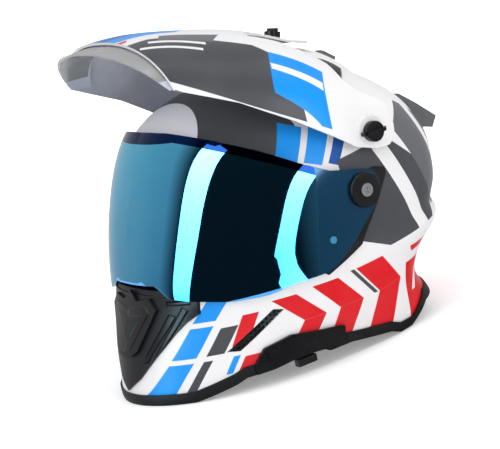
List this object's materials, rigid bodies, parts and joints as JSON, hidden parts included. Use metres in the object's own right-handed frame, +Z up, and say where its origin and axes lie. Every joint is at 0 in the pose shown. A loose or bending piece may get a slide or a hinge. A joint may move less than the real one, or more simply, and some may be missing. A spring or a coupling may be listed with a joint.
{
  "type": "dual sport helmet",
  "caption": "Full-face dual sport helmet with a tilting peak and sliding extender, lifting mirror-blue face shield, drop-down inner visor, vents, foam and cloth liner and chin strap.",
  "frame": {"origin": "centre of the bounding box at its bottom, on the surface the helmet's rim stands on", "axes": "+Z up, -Y towards the wearer's front, +X towards the wearer's left"},
  "size_m": [0.261, 0.3341, 0.2965],
  "materials": {
    "shell_white": "gloss clear coat over white, grey, blue and red paint",
    "peak_white": "gloss white, grey and blue paint",
    "smoke": "smoked translucent polycarbonate",
    "blue_mirror": "mirror-blue coated polycarbonate",
    "blue_clear": "clear blue-tinted plastic",
    "black_satin": "satin black moulded plastic",
    "grey_satin": "satin grey plastic",
    "black_rubber": "black rubber",
    "screw_steel": "bright screw head",
    "dark_mesh": "black perforated mesh",
    "bright_mesh": "dark chrome perforated mesh",
    "foam_black": "expanded polystyrene bead foam, black",
    "pad_fabric": "brushed knitted liner cloth",
    "curtain_mesh": "knitted windproof cloth",
    "webbing": "woven polyester webbing",
    "zinc_steel": "zinc-plated steel",
    "red_lever": "red lever"
  },
  "bodies": {
    "helmet": {"outer_shell": "shell_white", "crown_fairing": "shell_white", "eyeport_gasket": "black_rubber", "side_plate_left": "black_satin", "side_plate_right": "black_satin", "pivot_cap_left": "black_satin", "pivot_cap_right": "black_satin", "pivot_screws": "screw_steel", "chin_trim": "black_rubber", "neck_trim": "black_rubber", "side_trim_left": "black_satin", "side_trim_right": "black_satin", "chin_vent_surround": "black_satin", "chin_vent_mesh": "dark_mesh", "side_mesh_left": "bright_mesh", "side_mesh_right": "bright_mesh", "peak_bosses": "black_satin", "crown_vent_left": "black_satin", "crown_vent_right": "black_satin", "rear_spoiler": "grey_satin", "rear_vent_grille": "dark_mesh", "sun_visor_pins": "black_satin", "sun_visor_track": "black_satin", "eps_liner": "foam_black", "chin_liner": "foam_black", "crown_pad": "pad_fabric", "cheek_pad_left": "pad_fabric", "cheek_pad_right": "pad_fabric", "neck_roll": "pad_fabric", "chin_curtain": "curtain_mesh", "breath_guard": "black_rubber", "strap_left": "webbing", "strap_right": "webbing", "strap_anchors": "zinc_steel", "buckle_body": "zinc_steel", "ratchet_tongue": "black_satin"},
    "shield": {"face_shield": "blue_mirror", "pinlock_pins": "blue_clear"},
    "peak_assembly": {"peak": "peak_white"},
    "extender": {"peak_extender": "smoke"},
    "knob_left": {"peak_knob_left": "black_satin"},
    "knob_right": {"peak_knob_right": "black_satin"},
    "top_knob": {"peak_top_knob": "black_satin"},
    "chin_shutter": {"chin_vent_shutter": "black_satin"},
    "crown_slider": {"crown_vent_slider": "grey_satin"},
    "inner_visor": {"sun_visor": "smoke"},
    "visor_tab": {"sun_visor_tab": "black_satin"},
    "lever": {"buckle_lever": "red_lever"}
  },
  "joints": [
    {"name": "shield_hinge", "type": "hinge", "parent": "helmet", "child": "shield", "pos_m": [0, 0.021, 0.136], "axis": [-1, 0, 0], "range_deg": [0, 38]},
    {"name": "peak_tilt", "type": "hinge", "parent": "helmet", "child": "peak_assembly", "pos_m": [0, 0.042, 0.179], "axis": [-1, 0, 0], "range_deg": [-4, 5]},
    {"name": "extender_slide", "type": "slide", "parent": "peak_assembly", "child": "extender", "axis": [0, 0.9968, -0.0798], "range_m": [0, 0.015]},
    {"name": "knob_left_turn", "type": "hinge", "parent": "helmet", "child": "knob_left", "pos_m": [0.122, 0.042, 0.179], "axis": [1, 0, 0], "continuous": true},
    {"name": "knob_right_turn", "type": "hinge", "parent": "helmet", "child": "knob_right", "pos_m": [-0.122, 0.042, 0.179], "axis": [-1, 0, 0], "continuous": true},
    {"name": "top_knob_turn", "type": "hinge", "parent": "peak_assembly", "child": "top_knob", "pos_m": [0, 0.042, 0.25855], "axis": [0, 0.3074, 0.9516], "continuous": true},
    {"name": "chin_shutter_slide", "type": "slide", "parent": "helmet", "child": "chin_shutter", "axis": [0, 0.31, 0.9507], "range_m": [0, 0.0015]},
    {"name": "crown_slider_slide", "type": "slide", "parent": "helmet", "child": "crown_slider", "axis": [0, 0.7932, -0.609], "range_m": [0, 0.006]},
    {"name": "visor_swing", "type": "hinge", "parent": "helmet", "child": "inner_visor", "pos_m": [0, -0.017, 0.153], "axis": [1, 0, 0], "range_deg": [0, 34]},
    {"name": "visor_tab_slide", "type": "slide", "parent": "helmet", "child": "visor_tab", "axis": [0, 1, 0], "range_m": [0, 0.0181]},
    {"name": "lever_hinge", "type": "hinge", "parent": "helmet", "child": "lever", "pos_m": [0.038, -0.004, 0.0086], "axis": [0, 1, 0], "range_deg": [0, 60]}
  ],
  "couplings": [
    {"joint": "visor_tab_slide", "follows": "visor_swing", "m_per_rad": 0.0303}
  ]
}
